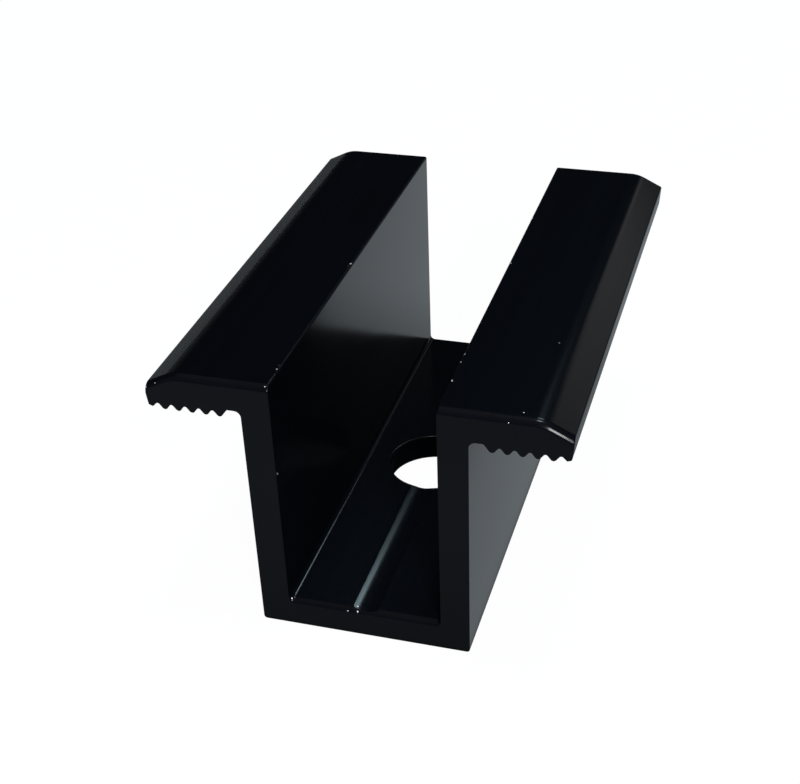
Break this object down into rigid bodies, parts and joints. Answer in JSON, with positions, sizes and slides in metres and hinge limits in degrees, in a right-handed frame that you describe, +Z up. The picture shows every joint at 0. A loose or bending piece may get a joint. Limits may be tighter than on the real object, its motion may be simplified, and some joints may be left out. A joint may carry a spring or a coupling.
{
  "type": "solar mid clamp",
  "caption": "Extruded hat-section clamp with a bolt hole in its channel floor and serrated flanges that hold the edges of two neighbouring solar modules down on a rail.",
  "frame": {"origin": "centre of the bolt hole on the underside of the base", "axes": "+Z up along the bolt, out of the channel mouth; +Y along the extruded length; +X across the two flanges; the rolled front end is at -Y"},
  "size_m": [0.0374, 0.05, 0.0258],
  "materials": {
    "black_anodised": "satin black anodised"
  },
  "bodies": {
    "root": {"clamp_body": "black_anodised"}
  },
  "joints": []
}
